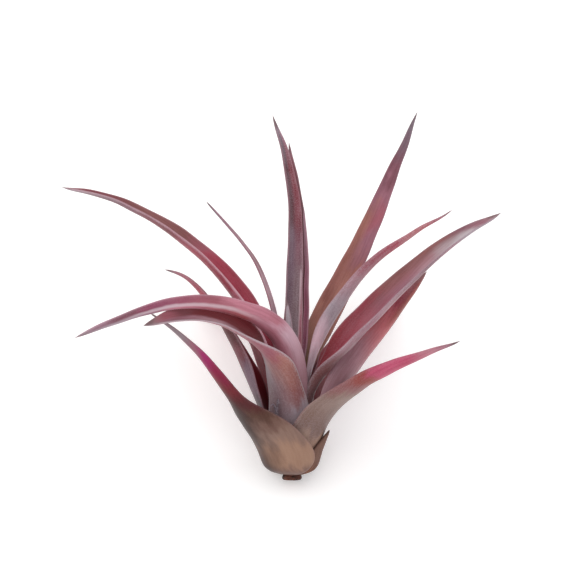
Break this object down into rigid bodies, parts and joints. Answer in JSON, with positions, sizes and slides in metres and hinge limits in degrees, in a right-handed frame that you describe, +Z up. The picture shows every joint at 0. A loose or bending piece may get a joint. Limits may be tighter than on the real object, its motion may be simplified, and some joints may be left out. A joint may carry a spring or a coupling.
{
  "type": "tillandsia capitata air plant",
  "caption": "Air plant lying as picked: a bulb of overlapping leaf sheaths on a short cut stub, with long channelled, tapering, arching leaves in peach, pink and mauve.",
  "frame": {"origin": "on the surface the plant lies on, under the middle of its bounding box", "axes": "+Z up from the surface; +X to the right of the plant as pictured; the stub points to -Y and the crown to +Y, with the stem leant back 51 degrees from +Z"},
  "size_m": [0.2012, 0.165, 0.102],
  "materials": {
    "stub_bark": "matte, dark and woody",
    "leaf_pale": "satin, young and pale",
    "papery_sheath": "matte, dry and papery",
    "leaf_olive": "satin, olive tan",
    "leaf_magenta": "satin, magenta turning grey brown at the tip",
    "leaf_mauve": "satin, silvery bloom over mauve",
    "leaf_pink": "satin, silvery bloom over pink",
    "leaf_tawny": "satin, tawny orange low down",
    "leaf_red": "satin, deep red with a light bloom",
    "leaf_silver": "satin, dense silver bloom"
  },
  "bodies": {
    "root": {"stem": "stub_bark", "side_shoot": "leaf_pale", "dry_sheath_right": "papery_sheath", "dry_sheath_back": "papery_sheath", "leaf_low_left": "leaf_olive", "leaf_low_right": "leaf_magenta", "leaf_back_left": "leaf_mauve", "leaf_back_right": "leaf_mauve", "leaf_left_lower": "leaf_pink", "leaf_right_under": "leaf_tawny", "leaf_left_short": "leaf_mauve", "leaf_left_arch": "leaf_pink", "leaf_back_low_right": "leaf_mauve", "leaf_right_broad": "leaf_red", "leaf_back_low_left": "leaf_mauve", "leaf_left_long": "leaf_red", "leaf_right_tall": "leaf_tawny", "leaf_back_upright": "leaf_mauve", "leaf_right_slender": "leaf_silver", "leaf_heart_left": "leaf_pale", "leaf_left_thin": "leaf_mauve", "leaf_centre_back": "leaf_red", "leaf_heart_right": "leaf_pink", "leaf_centre_tall": "leaf_silver", "leaf_centre_right": "leaf_pink"}
  },
  "joints": []
}
